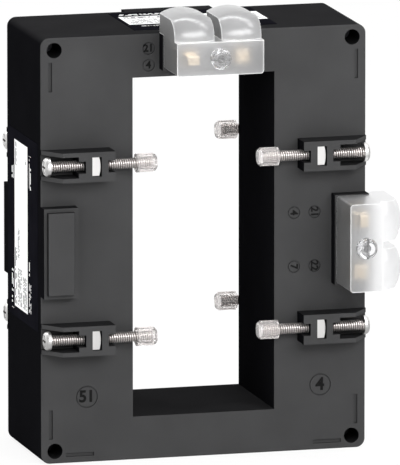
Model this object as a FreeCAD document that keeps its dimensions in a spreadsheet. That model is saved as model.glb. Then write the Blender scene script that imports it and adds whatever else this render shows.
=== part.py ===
import FreeCAD, Part
import math
import os

import Sketcher
from FreeCAD import Placement, Rotation, Vector

# Window-type current transformer: a rectangular two-shell housing round a busbar window, with a wound
# core inside, eight busbar clamp screws, and two pairs of secondary terminals under clear covers.
# X runs to the right, Y from the front to the rear, Z up. The origin is the middle of the window.

doc = FreeCAD.newDocument("current_transformer")
sheet = doc.addObject("Spreadsheet::Sheet", "Sizes")


class Size:
    """A length together with the sheet formula that gives it."""

    def __init__(self, value, formula):
        self.value = float(value)
        self.formula = formula

    def __add__(self, other):
        return Size(self.value + number(other), f"({self.formula} + {text(other)})")

    def __radd__(self, other):
        return Size(number(other) + self.value, f"({text(other)} + {self.formula})")

    def __sub__(self, other):
        return Size(self.value - number(other), f"({self.formula} - {text(other)})")

    def __rsub__(self, other):
        return Size(number(other) - self.value, f"({text(other)} - {self.formula})")

    def __mul__(self, other):
        return Size(self.value * number(other), f"({self.formula} * {text(other)})")

    def __rmul__(self, other):
        return Size(number(other) * self.value, f"({text(other)} * {self.formula})")

    def __truediv__(self, other):
        return Size(self.value / number(other), f"({self.formula} / {text(other)})")

    def __neg__(self):
        return Size(-self.value, f"(0 - {self.formula})")


def number(length):
    """The number of a length that is a Size or a plain number."""
    return length.value if isinstance(length, Size) else float(length)


def text(length):
    """The formula of a length that is a Size or a plain number."""
    return length.formula if isinstance(length, Size) else f"{float(length):.12g}"


cells = []


def size(alias, value):
    """A driving size: a new cell of the sheet, with its alias."""
    cells.append(alias)
    row = len(cells)
    sheet.set(f"A{row}", alias)
    sheet.set(f"B{row}", f"{value:g}")
    sheet.setAlias(f"B{row}", alias)
    return Size(value, f"Sizes.{alias}")


# Housing
body_width = size("body_width", 125.0)
body_height = size("body_height", 160.5)
front_shell_depth = size("front_shell_depth", 27.5)
rear_shell_depth = size("rear_shell_depth", 22.5)
window_width = size("window_width", 54.5)
window_height = size("window_height", 128.0)
outer_wall = size("outer_wall", 2.5)
face_wall = size("face_wall", 2.5)
window_wall = size("window_wall", 2.0)
corner_radius = size("corner_radius", 3.4)
face_edge_radius = size("face_edge_radius", 0.5)
lip_thickness = size("lip_thickness", 1.0)
lip_height = size("lip_height", 1.6)
lip_clearance = size("lip_clearance", 0.1)

# Case screws, in the four corners
case_screw_edge_x = size("case_screw_edge_x", 5.25)
case_screw_edge_z = size("case_screw_edge_z", 4.7)
case_post_radius = size("case_post_radius", 4.6)
case_counterbore_radius = size("case_counterbore_radius", 2.9)
case_counterbore_depth = size("case_counterbore_depth", 15.2)
case_screw_hole_radius = size("case_screw_hole_radius", 1.7)
case_screw_radius = size("case_screw_radius", 1.5)
case_head_radius = size("case_head_radius", 2.7)
case_head_height = size("case_head_height", 2.2)
case_thread_depth = size("case_thread_depth", 15.0)
case_pilot_extra = size("case_pilot_extra", 1.0)

# Shallow recesses in the faces: keying slots and round marks
recess_depth = size("recess_depth", 0.7)
slot_width = size("slot_width", 1.4)
side_slot_edge = size("side_slot_edge", 3.7)
side_slot_low = size("side_slot_low", 60.0)
side_slot_length = size("side_slot_length", 11.0)
foot_slot_edge = size("foot_slot_edge", 3.05)
foot_slot_start = size("foot_slot_start", 42.3)
foot_slot_length = size("foot_slot_length", 10.8)
mark_depth = size("mark_depth", 0.4)
mark_line = size("mark_line", 0.45)
large_mark_radius = size("large_mark_radius", 4.2)
large_mark_x = size("large_mark_x", 45.0)
large_mark_z = size("large_mark_z", 55.5)
small_mark_radius = size("small_mark_radius", 2.4)
mark_offset = size("mark_offset", 21.2)
mark_side_offset = size("mark_side_offset", 10.2)
mark_row_near = size("mark_row_near", 5.45)
mark_row_far = size("mark_row_far", 11.75)
mark_side_near = size("mark_side_near", 19.8)
mark_side_far = size("mark_side_far", 27.7)

# Clamp bosses on both faces, with a screw, a nut and a cap in each
clamp_z = size("clamp_z", 32.75)
clamp_axis_height = size("clamp_axis_height", 4.5)
boss_height = size("boss_height", 9.0)
boss_breadth = size("boss_breadth", 11.2)
boss_inner = size("boss_inner", 36.2)
boss_ramp_start = size("boss_ramp_start", 56.3)
boss_ramp_end_height = size("boss_ramp_end_height", 0.8)
head_channel_start = size("head_channel_start", 50.2)
head_channel_breadth = size("head_channel_breadth", 8.0)
shaft_slot_breadth = size("shaft_slot_breadth", 4.5)
outer_bridge_start = size("outer_bridge_start", 45.05)
outer_bridge_thickness = size("outer_bridge_thickness", 2.45)
inner_bridge_thickness = size("inner_bridge_thickness", 2.6)
nut_width = size("nut_width", 7.0)
nut_thickness = size("nut_thickness", 3.2)
nut_side_clearance = size("nut_side_clearance", 0.15)
nut_end_clearance = size("nut_end_clearance", 0.2)
nut_chamfer_reach = size("nut_chamfer_reach", 0.55)
thread_radius = size("thread_radius", 2.0)
thread_clearance = size("thread_clearance", 0.05)
screw_length = size("screw_length", 41.2)
screw_tip_chamfer = size("screw_tip_chamfer", 0.6)
screw_head_radius = size("screw_head_radius", 3.6)
screw_head_height = size("screw_head_height", 2.3)
screw_head_rounding = size("screw_head_rounding", 1.5)
recess_arm_length = size("recess_arm_length", 2.1)
recess_arm_breadth = size("recess_arm_breadth", 0.8)
recess_arm_depth = size("recess_arm_depth", 1.4)
cap_length = size("cap_length", 7.6)
cap_grip = size("cap_grip", 5.9)
cap_tip_gap = size("cap_tip_gap", 0.3)
cap_core_radius = size("cap_core_radius", 3.15)
cap_rim_radius = size("cap_rim_radius", 3.55)
cap_rim_length = size("cap_rim_length", 0.8)
cap_rib_radius = size("cap_rib_radius", 3.5)
cap_rib_breadth = size("cap_rib_breadth", 0.45)
cap_tip_chamfer = size("cap_tip_chamfer", 0.5)

# Terminal places: a raised pad on the face, with an opening for an insert
pad_length = size("pad_length", 34.0)
pad_breadth = size("pad_breadth", 13.2)
pad_height = size("pad_height", 5.0)
pad_opening_length = size("pad_opening_length", 30.0)
pad_opening_near = size("pad_opening_near", 2.6)
pad_opening_far = size("pad_opening_far", 10.9)
insert_clearance = size("insert_clearance", 0.15)
insert_wall = size("insert_wall", 1.5)
blank_length = size("blank_length", 31.2)
blank_near = size("blank_near", 1.2)
blank_far = size("blank_far", 11.3)
blank_height = size("blank_height", 2.0)
block_flange_thickness = size("block_flange_thickness", 1.5)
block_flange_margin = size("block_flange_margin", 0.3)
terminal_offset = size("terminal_offset", 10.0)
terminal_seat = size("terminal_seat", 6.9)
collar_length = size("collar_length", 8.4)
collar_breadth = size("collar_breadth", 8.0)
collar_height = size("collar_height", 3.8)
clamp_block_length = size("clamp_block_length", 5.4)
clamp_block_breadth = size("clamp_block_breadth", 5.2)
clamp_block_height = size("clamp_block_height", 11.0)
wire_hole_radius = size("wire_hole_radius", 1.7)
wire_hole_height = size("wire_hole_height", 6.0)
tail_radius = size("tail_radius", 0.9)
tail_length = size("tail_length", 1.2)
terminal_thread_radius = size("terminal_thread_radius", 1.5)
terminal_screw_length = size("terminal_screw_length", 3.4)
terminal_screw_sink = size("terminal_screw_sink", 0.4)
driver_slot_breadth = size("driver_slot_breadth", 0.8)
driver_slot_depth = size("driver_slot_depth", 1.0)

# Clear terminal cover: a box with two domes over the wire entries
cover_length = size("cover_length", 33.2)
cover_breadth = size("cover_breadth", 12.5)
cover_depth = size("cover_depth", 19.0)
cover_wall = size("cover_wall", 0.9)
cover_corner_radius = size("cover_corner_radius", 1.2)
dome_gap = size("dome_gap", 2.8)
dome_side_height = size("dome_side_height", 7.45)
dome_rise = size("dome_rise", 2.0)
dome_length = size("dome_length", 21.3)
dome_overhang = size("dome_overhang", 1.0)
dome_rounding = size("dome_rounding", 7.0)
cover_post_radius = size("cover_post_radius", 2.6)
cover_post_gap = size("cover_post_gap", 0.3)
cover_screw_seat = size("cover_screw_seat", 6.3)
cover_screw_radius = size("cover_screw_radius", 1.5)
cover_screw_clearance = size("cover_screw_clearance", 0.15)
cover_head_radius = size("cover_head_radius", 4.0)
cover_head_height = size("cover_head_height", 2.2)
cover_head_rounding = size("cover_head_rounding", 1.6)
cover_screw_bite = size("cover_screw_bite", 4.0)
throat_overlap = size("throat_overlap", 0.3)

# Rating labels
label_thickness = size("label_thickness", 0.2)
top_label_left = size("top_label_left", 24.3)
top_label_right = size("top_label_right", 30.5)
top_label_front = size("top_label_front", 8.0)
top_label_depth = size("top_label_depth", 38.0)
side_label_low = size("side_label_low", 31.0)
side_label_high = size("side_label_high", 40.0)
side_label_front = size("side_label_front", 4.0)
side_label_depth = size("side_label_depth", 44.0)

# Wound core, bobbins and windings
core_build = size("core_build", 9.0)
core_depth = size("core_depth", 28.0)
core_limb_gap = size("core_limb_gap", 7.35)
core_yoke_gap = size("core_yoke_gap", 1.2)
core_corner_radius = size("core_corner_radius", 4.0)
tape_thickness = size("tape_thickness", 0.8)
tape_half_length = size("tape_half_length", 28.0)
inner_clearance = size("inner_clearance", 0.3)
bobbin_wall = size("bobbin_wall", 1.0)
flange_thickness = size("flange_thickness", 1.5)
bobbin_end_gap = size("bobbin_end_gap", 5.2)
winding_thickness = size("winding_thickness", 4.6)
lead_radius = size("lead_radius", 0.6)
lead_run_depth = size("lead_run_depth", 3.0)
lead_start_offset = size("lead_start_offset", 3.8)
lead_rise = size("lead_rise", 6.0)
lead_side_run = size("lead_side_run", 11.0)
side_lead_y = size("side_lead_y", -12.0)
link_drop = size("link_drop", 7.0)

# How far a cut that opens at an edge runs past it
cut_past = size("cut_past", 0.5)

body_depth = front_shell_depth + rear_shell_depth
front_y = -body_depth / 2
rear_y = body_depth / 2
seam_y = front_y + front_shell_depth
half_width = body_width / 2
half_height = body_height / 2
side_slot_x = half_width - side_slot_edge
foot_slot_z = half_height - foot_slot_edge
core_limb_x = window_width / 2 + window_wall + core_limb_gap
core_yoke_z = window_height / 2 + window_wall + core_yoke_gap
bobbin_half_length = core_yoke_z - bobbin_end_gap
thread_bore = thread_radius + thread_clearance
nut_pocket_width = nut_thickness + 2 * nut_end_clearance
nut_pocket_start = outer_bridge_start - nut_pocket_width
inner_bridge_start = nut_pocket_start - inner_bridge_thickness
outer_bridge_end = outer_bridge_start + outer_bridge_thickness

# The share of the shorter run that an arc of a lead takes at a corner
BEND_SHARE = 0.45

PLANES = {"X": "YZ_Plane", "Y": "XZ_Plane", "Z": "XY_Plane"}
AXES = {"X": "X_Axis", "Y": "Y_Axis", "Z": "Z_Axis"}
# Along each axis, whether a sketch's normal on that plane points the positive way
NORMALS = {"X": 1, "Y": -1, "Z": 1}
BOTH = (-1, 1)


def origin_feature(body, role):
    return next(feature for feature in body.Origin.OriginFeatures if feature.Role == role)


def bind(thing, path, length):
    """Ties a property to its formula, or sets it where the length is a plain number."""
    if isinstance(length, Size):
        thing.setExpression(path, length.formula)
    else:
        thing.setExpression(path, text(length))


def new_body(label):
    body = doc.addObject("PartDesign::Body", label)
    body.Label = label
    return body


def place(thing, x=0, y=0, z=0, turn=Rotation()):
    """Puts a sub-part at a point given by sizes, after its rotation."""
    thing.Placement = Placement(Vector(number(x), number(y), number(z)), turn)
    for path, length in zip("xyz", (x, y, z)):
        if isinstance(length, Size):
            thing.setExpression(f"Placement.Base.{path}", length.formula)
    return thing


def sketch_across(body, name, axis, at):
    """A sketch on the origin plane across an axis, moved to a place on that axis."""
    sketch = body.newObject("Sketcher::SketchObject", name)
    sketch.AttachmentSupport = [(origin_feature(body, PLANES[axis]), "")]
    sketch.MapMode = "FlatFace"
    bind(sketch, "AttachmentOffset.Base.z", NORMALS[axis] * at)
    return sketch


def hold(sketch, kind, geometry, point, length):
    """A distance from the sketch's origin to a point, tied to its formula."""
    at = sketch.addConstraint(Sketcher.Constraint(kind, -1, 1, geometry, point, number(length)))
    if isinstance(length, Size):
        sketch.setExpression(f"Constraints[{at}]", length.formula)


def draw_loop(sketch, points, bulges=None):
    """A closed outline through points, counter-clockwise. bulges gives an edge's outward arc rise."""
    bulges = bulges or {}
    corners = [Vector(number(x), number(y), 0) for x, y in points]
    first = sketch.GeometryCount
    total = len(points)
    for n, start in enumerate(corners):
        end = corners[(n + 1) % total]
        if n in bulges:
            run = end - start
            outward = Vector(run.y, -run.x, 0).normalize() * number(bulges[n])
            arc = Part.Arc(start, (start + end) / 2 + outward, end)
            sketch.addGeometry(arc, False)
        else:
            sketch.addGeometry(Part.LineSegment(start, end), False)
    for n in range(total):
        follower = first + (n + 1) % total
        sketch.addConstraint(Sketcher.Constraint("Coincident", first + n, 2, follower, 1))
        hold(sketch, "DistanceX", first + n, 1, points[n][0])
        hold(sketch, "DistanceY", first + n, 1, points[n][1])
    for n, rise in bulges.items():
        (ax, ay), (bx, by) = points[n], points[(n + 1) % total]
        chord = bx - ax if number(ay) == number(by) else by - ay
        radius = (chord * chord / 4 + rise * rise) / (2 * rise)
        at = sketch.addConstraint(Sketcher.Constraint("Radius", first + n, abs(number(radius))))
        sketch.setExpression(f"Constraints[{at}]", radius.formula)


def draw_circle(sketch, x, y, radius):
    middle = Vector(number(x), number(y), 0)
    circle = sketch.addGeometry(Part.Circle(middle, Vector(0, 0, 1), number(radius)), False)
    hold(sketch, "DistanceX", circle, 3, x)
    hold(sketch, "DistanceY", circle, 3, y)
    at = sketch.addConstraint(Sketcher.Constraint("Radius", circle, number(radius)))
    sketch.setExpression(f"Constraints[{at}]", text(radius))


def rectangle(x_low, x_high, y_low, y_high):
    return [(x_low, y_low), (x_high, y_low), (x_high, y_high), (x_low, y_high)]


def centred(length, height, x=0, y=0):
    return rectangle(x - length / 2, x + length / 2, y - height / 2, y + height / 2)


def ordered(a, b, c, d):
    """A rectangle between two x and two y values given in any order."""
    x = sorted((a, b), key=number)
    y = sorted((c, d), key=number)
    return rectangle(x[0], x[1], y[0], y[1])


def extrude(body, name, axis, start, end, loops=(), circles=(), cut=False):
    """A pad or pocket between two places on an axis, from outlines in the plane across it."""
    sketch = sketch_across(body, f"{name}_outline", axis, start)
    for loop in loops:
        draw_loop(sketch, loop)
    for x, y, radius in circles:
        draw_circle(sketch, x, y, radius)
    return extrude_sketch(body, name, sketch, axis, start, end, cut)


def extrude_sketch(body, name, sketch, axis, start, end, cut=False):
    feature = body.newObject("PartDesign::Pocket" if cut else "PartDesign::Pad", name)
    feature.Profile = sketch
    along_normal = (number(end) - number(start)) * NORMALS[axis] > 0
    feature.Reversed = along_normal if cut else not along_normal
    length = end - start if number(end) > number(start) else start - end
    bind(feature, "Length", length)
    return feature


def revolve(body, name, points, cut=False, bulges=None):
    """A turned form about the body's X axis, from an outline of places along it and radii."""
    sketch = sketch_across(body, f"{name}_outline", "Z", 0)
    draw_loop(sketch, points, bulges)
    feature = body.newObject("PartDesign::Groove" if cut else "PartDesign::Revolution", name)
    feature.Profile = sketch
    feature.ReferenceAxis = (origin_feature(body, AXES["X"]), [""])
    feature.Angle = 360
    return feature


def edges_where(shape, test):
    return [f"Edge{n}" for n, edge in enumerate(shape.Edges, 1) if test(edge)]


def round_edges(body, name, radius, test, kind="Fillet"):
    """A fillet or chamfer on the edges of the body so far that pass a test."""
    doc.recompute()
    base = body.Tip
    names = edges_where(base.Shape, test)
    if not names:
        raise RuntimeError(f"{body.Label}: no edges for {name}")
    feature = body.newObject(f"PartDesign::{kind}", name)
    feature.Base = (base, names)
    bind(feature, "Radius" if kind == "Fillet" else "Size", radius)
    return feature


def near(a, b):
    return abs(number(a) - number(b)) < 0.001


def runs_along(edge, direction):
    if not isinstance(edge.Curve, Part.Line):
        return False
    return abs(edge.Curve.Direction.dot(direction)) > 0.999


# The places where terminals can be, the middles of the top and the two sides, with the angle about Y
# that turns a piece modelled at the top to each.
SITES = {"top": 0, "right": 90, "left": -90}


def on_face(site, along, outward):
    """The (x, z) of a point given along a site's edge and outward from it."""
    if site == "top":
        return along, half_height + outward
    if site == "right":
        return half_width + outward, -1 * along
    return -half_width - outward, along


def site_rectangle(site, along_low, along_high, outward_low, outward_high):
    a = on_face(site, along_low, outward_low)
    b = on_face(site, along_high, outward_high)
    return ordered(a[0], b[0], a[1], b[1])


def site_placement(thing, site, front=True, along=0):
    """Puts a piece modelled at the top front site on another site."""
    turn = Rotation(Vector(0, 1, 0), SITES[site])
    x, z = on_face(site, along, 0)
    if not front:
        turn = Rotation(Vector(0, 0, 1), 180).multiply(turn)
        x = -1 * x
    return place(thing, x, front_y if front else rear_y, z, turn)


def corner_centres():
    return [
        (sx * (half_width - case_screw_edge_x), sz * (half_height - case_screw_edge_z))
        for sx in BOTH
        for sz in BOTH
    ]


def mark_centres(front):
    """The middles and radii of the round marks on one face."""
    side = -1 if front else 1
    large = [(sx * large_mark_x, -large_mark_z, large_mark_radius) for sx in BOTH]
    rows = (half_height - mark_row_near, half_height - mark_row_far)
    top = [(sx * mark_offset, row, small_mark_radius) for sx in BOTH for row in rows]
    columns = (half_width - mark_side_near, half_width - mark_side_far)
    beside = [
        (-side * column, sz * mark_side_offset, small_mark_radius)
        for column in columns
        for sz in BOTH
    ]
    return large + top + beside if front else large


def shell(label, face, sites):
    """One housing shell, from the seam to its face, open at the seam."""
    front = face is front_y
    out = -1 if front else 1
    body = new_body(label)
    extrude(body, "block", "Y", seam_y, face, [centred(body_width, body_height)])
    round_edges(body, "corners", corner_radius, lambda edge: runs_along(edge, Vector(0, 1, 0)))
    round_edges(
        body,
        "face_edges",
        face_edge_radius,
        lambda edge: all(near(vertex.Y, face) for vertex in edge.Vertexes),
    )
    extrude(body, "window", "Y", seam_y, face, [centred(window_width, window_height)], cut=True)
    inner_face = face - out * face_wall
    cavity = [
        centred(body_width - 2 * outer_wall, body_height - 2 * outer_wall),
        centred(window_width + 2 * window_wall, window_height + 2 * window_wall),
    ]
    extrude(body, "cavity", "Y", seam_y, inner_face, cavity, cut=True)
    posts = [(x, z, case_post_radius) for x, z in corner_centres()]
    extrude(body, "posts", "Y", inner_face + out * face_wall / 2, seam_y, circles=posts)

    # The seam's lip: a tongue on the rear shell's inner half wall, in a step cut in the front shell
    lip_outer = 2 * (outer_wall - lip_thickness)
    if front:
        step = 2 * (outer_wall - lip_thickness - lip_clearance)
        ring = [
            centred(body_width - step, body_height - step),
            centred(body_width - 2 * outer_wall, body_height - 2 * outer_wall),
        ]
        extrude(body, "lip_step", "Y", seam_y, seam_y - lip_height - lip_clearance, ring, cut=True)
    else:
        ring = [
            centred(body_width - lip_outer, body_height - lip_outer),
            centred(body_width - 2 * outer_wall, body_height - 2 * outer_wall),
        ]
        extrude(body, "lip", "Y", seam_y, seam_y - lip_height, ring)

    # Raised pads for the terminals, each with an opening through the face
    pad_end = face + out * pad_height
    pads = [site_rectangle(s, -pad_length / 2, pad_length / 2, -pad_breadth, 0) for s in sites]
    extrude(body, "pads", "Y", face - out * face_wall / 2, pad_end, pads)
    openings = [
        site_rectangle(
            s, -pad_opening_length / 2, pad_opening_length / 2, -pad_opening_far, -pad_opening_near
        )
        for s in sites
    ]
    extrude(body, "pad_openings", "Y", pad_end, inner_face, openings, cut=True)

    # Clamp bosses: a body with a ramp to the housing's side, a channel for the screw's head, slots for
    # its shaft and a pocket for its nut
    for level, way in (("upper", 1), ("lower", -1)):
        middle = way * clamp_z
        outlines = []
        for side in BOTH:
            profile = [
                (boss_inner, face - out * face_wall / 2),
                (half_width, face - out * face_wall / 2),
                (half_width, face + out * boss_ramp_end_height),
                (boss_ramp_start, face + out * boss_height),
                (boss_inner, face + out * boss_height),
            ]
            profile = [(side * x, y) for x, y in profile]
            outlines.append(profile if side * out > 0 else profile[::-1])
        extrude(
            body,
            f"{level}_bosses",
            "Z",
            middle - boss_breadth / 2,
            middle + boss_breadth / 2,
            outlines,
        )
        top = face + out * boss_height
        axis_y = face + out * clamp_axis_height
        channels = [
            ordered(
                side * head_channel_start,
                side * (half_width + cut_past),
                middle - head_channel_breadth / 2,
                middle + head_channel_breadth / 2,
            )
            for side in BOTH
        ]
        extrude(body, f"{level}_head_channels", "Y", top, face, channels, cut=True)
        slots = [
            ordered(
                side * start,
                side * end,
                middle - shaft_slot_breadth / 2,
                middle + shaft_slot_breadth / 2,
            )
            for side in BOTH
            for start, end in (
                (outer_bridge_end, head_channel_start),
                (boss_inner, inner_bridge_start),
            )
        ]
        extrude(body, f"{level}_shaft_slots", "Y", top, axis_y, slots, cut=True)
        half_pocket = nut_width / 2 + nut_side_clearance
        pockets = [
            ordered(
                side * nut_pocket_start,
                side * outer_bridge_start,
                middle - half_pocket,
                middle + half_pocket,
            )
            for side in BOTH
        ]
        pocket_floor = axis_y - out * half_pocket
        extrude(body, f"{level}_nut_pockets", "Y", top, pocket_floor, pockets, cut=True)
        for side, word in ((-1, "left"), (1, "right")):
            extrude(
                body,
                f"{level}_{word}_shaft_bore",
                "X",
                side * boss_inner,
                side * head_channel_start,
                circles=[(axis_y, middle, shaft_slot_breadth / 2)],
                cut=True,
            )

    # Case screw holes, down the corner posts
    corners = corner_centres()
    if front:
        bores = [(x, z, case_counterbore_radius) for x, z in corners]
        extrude(body, "counterbores", "Y", face, face + case_counterbore_depth, circles=bores, cut=True)
        bores = [(x, z, case_screw_hole_radius) for x, z in corners]
        extrude(body, "case_screw_holes", "Y", face, seam_y, circles=bores, cut=True)
    else:
        bores = [(x, z, case_screw_radius + thread_clearance) for x, z in corners]
        bottom = seam_y + case_thread_depth + case_pilot_extra
        extrude(body, "case_pilot_holes", "Y", seam_y, bottom, circles=bores, cut=True)

    # Shallow keying slots and round marks
    floor = face - out * recess_depth
    slots = [
        ordered(
            sx * (side_slot_x - slot_width / 2),
            sx * (side_slot_x + slot_width / 2),
            sz * side_slot_low,
            sz * (side_slot_low + side_slot_length),
        )
        for sx in BOTH
        for sz in BOTH
    ]
    slots += [
        ordered(
            sx * foot_slot_start,
            sx * (foot_slot_start + foot_slot_length),
            -foot_slot_z - slot_width / 2,
            -foot_slot_z + slot_width / 2,
        )
        for sx in BOTH
    ]
    extrude(body, "keying_slots", "Y", face, floor, slots, cut=True)
    rings = []
    for x, z, radius in mark_centres(front):
        rings += [(x, z, radius), (x, z, radius - mark_line)]
    extrude(body, "round_marks", "Y", face, face - out * mark_depth, circles=rings, cut=True)
    return body


def clamp_point(side, way, face):
    """A clamp screw's head end: its place on the housing's side, on the screw's axis."""
    out = -1 if face is front_y else 1
    return side * half_width, face + out * clamp_axis_height, way * clamp_z


def clamp_turn(side):
    """Turns a piece modelled with +X towards the window to its side of the housing."""
    return Rotation(Vector(0, 0, 1), 180) if side > 0 else Rotation()


def clamp_screw(label):
    """A pan-head screw with a cross recess, from its head's end at 0 along X."""
    body = new_body(label)
    profile = [
        (0, 0),
        (0, screw_head_radius),
        (screw_head_height, screw_head_radius),
        (screw_head_height, thread_radius),
        (screw_length - screw_tip_chamfer, thread_radius),
        (screw_length, thread_radius - screw_tip_chamfer),
        (screw_length, 0),
    ]
    revolve(body, "turned_form", profile[::-1])
    round_edges(
        body,
        "head_rounding",
        screw_head_rounding,
        lambda edge: all(near(vertex.X, 0) for vertex in edge.Vertexes),
    )
    arms = [
        (-recess_arm_length, -recess_arm_breadth / 2),
        (-recess_arm_breadth / 2, -recess_arm_breadth / 2),
        (-recess_arm_breadth / 2, -recess_arm_length),
        (recess_arm_breadth / 2, -recess_arm_length),
        (recess_arm_breadth / 2, -recess_arm_breadth / 2),
        (recess_arm_length, -recess_arm_breadth / 2),
        (recess_arm_length, recess_arm_breadth / 2),
        (recess_arm_breadth / 2, recess_arm_breadth / 2),
        (recess_arm_breadth / 2, recess_arm_length),
        (-recess_arm_breadth / 2, recess_arm_length),
        (-recess_arm_breadth / 2, recess_arm_breadth / 2),
        (-recess_arm_length, recess_arm_breadth / 2),
    ]
    extrude(body, "cross_recess", "X", 0, recess_arm_depth, [arms], cut=True)
    return body


CAP_RIBS = 16


def clamp_cap(label):
    """A clear ribbed cap pushed on a screw's tip, placed along the screw's own axis."""
    body = new_body(label)
    rim = screw_length - cap_grip
    end = rim + cap_length
    floor = screw_length + cap_tip_gap
    shoulder = rim + cap_rim_length
    profile = [
        (rim, thread_bore),
        (floor, thread_bore),
        (floor, 0),
        (end, 0),
        (end, cap_core_radius - cap_tip_chamfer),
        (end - cap_tip_chamfer, cap_core_radius),
        (shoulder, cap_core_radius),
        (shoulder, cap_rim_radius),
        (rim, cap_rim_radius),
    ]
    revolve(body, "turned_form", profile)
    rib_end = end - 2 * cap_tip_chamfer
    inner = (thread_bore + cap_core_radius) / 2
    rib = rectangle(inner, cap_rib_radius, -cap_rib_breadth / 2, cap_rib_breadth / 2)
    first = extrude(body, "rib", "X", shoulder, rib_end, [rib])
    pattern = body.newObject("PartDesign::PolarPattern", "ribs")
    pattern.Originals = [first]
    pattern.Axis = (origin_feature(body, AXES["X"]), [""])
    pattern.Angle = 360
    pattern.Occurrences = CAP_RIBS
    body.Tip = pattern
    return body


def clamp_nut(label, chamfer_inward):
    """A square nut with its corners chamfered on one side."""
    body = new_body(label)
    start = half_width - outer_bridge_start + nut_end_clearance
    end = start + nut_thickness
    extrude(body, "square", "X", start, end, [centred(nut_width, nut_width)])
    extrude(body, "thread_bore", "X", start, end, circles=[(0, 0, thread_bore)], cut=True)
    side, into = (end, -1) if chamfer_inward else (start, 1)
    corner = nut_width / 2 * math.sqrt(2)
    chamfer = [
        (side, nut_width / 2),
        (side + into * nut_chamfer_reach, corner),
        (side, corner),
    ]
    revolve(body, "corner_chamfer", chamfer[::into], cut=True)
    return body


def blank_plate(label):
    """The plate that closes a terminal place: a raised panel on a hollow plug."""
    body = new_body(label)
    plug = rectangle(
        -pad_opening_length / 2 + insert_clearance,
        pad_opening_length / 2 - insert_clearance,
        -pad_opening_far + insert_clearance,
        -pad_opening_near - insert_clearance,
    )
    panel = rectangle(-blank_length / 2, blank_length / 2, -blank_far, -blank_near)
    extrude(body, "panel", "Y", -pad_height, -pad_height - blank_height, [panel])
    extrude(body, "plug", "Y", -pad_height, face_wall, [plug])
    hollow = rectangle(
        -pad_opening_length / 2 + insert_clearance + insert_wall,
        pad_opening_length / 2 - insert_clearance - insert_wall,
        -pad_opening_far + insert_clearance + insert_wall,
        -pad_opening_near - insert_clearance - insert_wall,
    )
    extrude(body, "hollow", "Y", face_wall, -pad_height, [hollow], cut=True)
    round_edges(
        body,
        "panel_edges",
        face_edge_radius,
        lambda edge: all(near(vertex.Y, -pad_height - blank_height) for vertex in edge.Vertexes),
    )
    return body


def terminal_block(label):
    """The insulating insert: a collar round each of two clamp blocks, and a seat for the cover's screw."""
    body = new_body(label)
    plug = rectangle(
        -pad_opening_length / 2 + insert_clearance,
        pad_opening_length / 2 - insert_clearance,
        -pad_opening_far + insert_clearance,
        -pad_opening_near - insert_clearance,
    )
    margin = cover_wall + block_flange_margin
    flange = rectangle(
        -cover_length / 2 + margin, cover_length / 2 - margin, -cover_breadth + margin, -margin
    )
    top = -pad_height - block_flange_thickness
    extrude(body, "flange", "Y", -pad_height, top, [flange])
    extrude(body, "plug", "Y", -pad_height, face_wall, [plug])
    around = 2 * insert_clearance
    rings = []
    for side in BOTH:
        at = (side * terminal_offset, -terminal_seat)
        rings.append(centred(collar_length, collar_breadth, *at))
        rings.append(centred(clamp_block_length + around, clamp_block_breadth + around, *at))
    extrude(body, "collars", "Y", top, top - collar_height, rings)
    tails = [(side * terminal_offset, -terminal_seat, tail_radius) for side in BOTH]
    extrude(body, "tail_holes", "Y", top, face_wall, circles=tails, cut=True)
    seat = [(0, -cover_screw_seat, cover_screw_radius + thread_clearance)]
    bottom = top + cover_screw_bite + inner_clearance
    extrude(body, "cover_screw_seat", "Y", top, bottom, circles=seat, cut=True)
    return body


def terminal_clamp(label):
    """A brass clamp block with a cross hole for the wire and a solder tail through the insert."""
    body = new_body(label)
    foot = -pad_height - block_flange_thickness
    top = foot - clamp_block_height
    block = centred(clamp_block_length, clamp_block_breadth, 0, -terminal_seat)
    extrude(body, "block", "Y", foot, top, [block])
    tail = [(0, -terminal_seat, tail_radius)]
    extrude(body, "tail", "Y", foot, face_wall + tail_length, circles=tail)
    hole = [(0, foot - wire_hole_height, wire_hole_radius)]
    low = -terminal_seat - clamp_block_breadth / 2
    high = -terminal_seat + clamp_block_breadth / 2
    extrude(body, "wire_hole", "Z", low, high, circles=hole, cut=True)
    thread = [(0, -terminal_seat, terminal_thread_radius + thread_clearance)]
    extrude(body, "thread_hole", "Y", top, foot - wire_hole_height, circles=thread, cut=True)
    round_edges(
        body,
        "top_edges",
        face_edge_radius,
        lambda edge: isinstance(edge.Curve, Part.Line) and all(near(v.Y, top) for v in edge.Vertexes),
        "Chamfer",
    )
    return body


def terminal_screw(label):
    """A slotted set screw that presses a wire in its clamp block, sunk in the block's front end."""
    body = new_body(label)
    end = pad_height + block_flange_thickness + clamp_block_height - terminal_screw_sink
    shaft = [(0, -terminal_seat, terminal_thread_radius)]
    extrude(body, "shaft", "Y", -end, -end + terminal_screw_length, circles=shaft)
    slot = centred(2 * (terminal_thread_radius + cut_past), driver_slot_breadth, 0, -terminal_seat)
    extrude(body, "driver_slot", "Y", -end, -end + driver_slot_depth, [slot], cut=True)
    return body


def draw_domes(sketch, low, high, margin, arched=None):
    """Both domes' sections between two heights, drawn inward by a margin, one end of each arched."""
    for side in BOTH:
        near_x = side * (dome_gap / 2 + margin)
        far_x = side * (cover_length / 2 - margin)
        points = [(near_x, low), (far_x, low), (far_x, high), (near_x, high)]
        edge = {None: None, "low": 0, "high": 2}[arched]
        if side < 0:
            points = points[::-1]
            edge = None if arched is None else 2 - edge
        draw_loop(sketch, points, {edge: dome_rise} if arched else None)


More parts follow.
